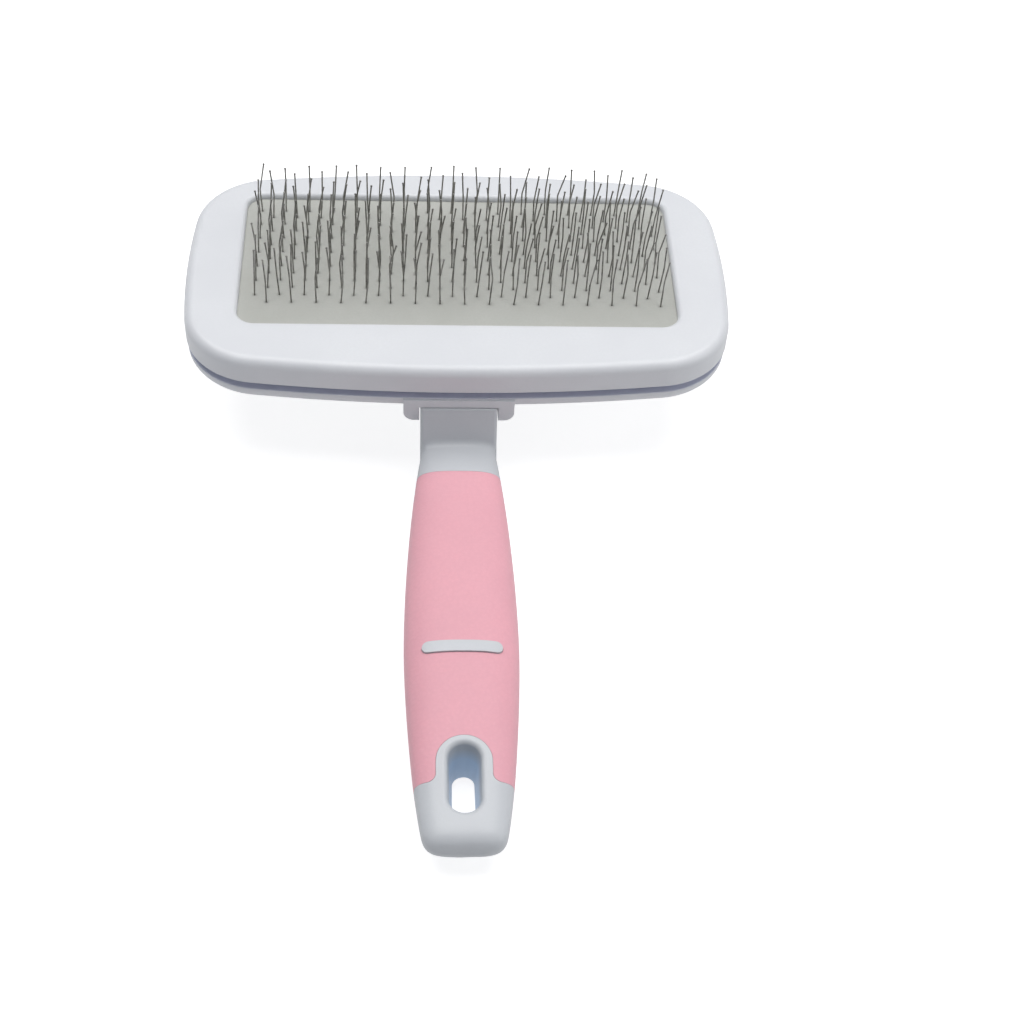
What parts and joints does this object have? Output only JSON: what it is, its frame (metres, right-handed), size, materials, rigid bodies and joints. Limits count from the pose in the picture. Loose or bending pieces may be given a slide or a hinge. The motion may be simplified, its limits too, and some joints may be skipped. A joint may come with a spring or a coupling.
{
  "type": "slicker brush",
  "caption": "Pet slicker brush: wide oblong white head with rows of fine bent steel pins in a grey rubber cushion, a dropped neck and a soft pink handle with a hanging slot.",
  "frame": {"origin": "centre of the flat back face of the head", "axes": "+X across the head, +Y from the handle end towards the head, +Z out of the back towards the pin tips"},
  "size_m": [0.135, 0.1909, 0.048],
  "materials": {
    "white_plastic": "satin moulded ABS",
    "handle_plastic": "satin moulded polypropylene",
    "pink_grip": "matte thermoplastic rubber",
    "grey_rubber": "matte natural rubber sheet",
    "cotton_ply": "plain woven cotton ply",
    "foam": "open-cell foam",
    "plate_plastic": "plain moulded polypropylene",
    "pin_steel": "drawn spring wire",
    "screw_steel": "zinc plated"
  },
  "bodies": {
    "brush": {"front_frame": "white_plastic", "back_shell": "white_plastic", "cushion_pad": "grey_rubber", "foam_bed": "foam", "support_plate": "plate_plastic", "neck_screws": "screw_steel", "plate_screws": "screw_steel", "handle_core": "handle_plastic", "grip_sleeve": "pink_grip"},
    "pin_bed": {"backing_cloth": "cotton_ply", "pin_row_01": "pin_steel", "pin_row_02": "pin_steel", "pin_row_03": "pin_steel", "pin_row_04": "pin_steel", "pin_row_05": "pin_steel", "pin_row_06": "pin_steel", "pin_row_07": "pin_steel", "pin_row_08": "pin_steel", "pin_row_09": "pin_steel", "pin_row_10": "pin_steel", "pin_row_11": "pin_steel", "pin_row_12": "pin_steel", "pin_row_13": "pin_steel", "pin_row_14": "pin_steel"}
  },
  "joints": [
    {"name": "cushion_give", "type": "slide", "parent": "brush", "child": "pin_bed", "axis": [0, 0, -1], "range_m": [0, 0.0012], "stiffness_N_per_m": 2000, "deforming": ["foam_bed", "cushion_pad"]}
  ]
}
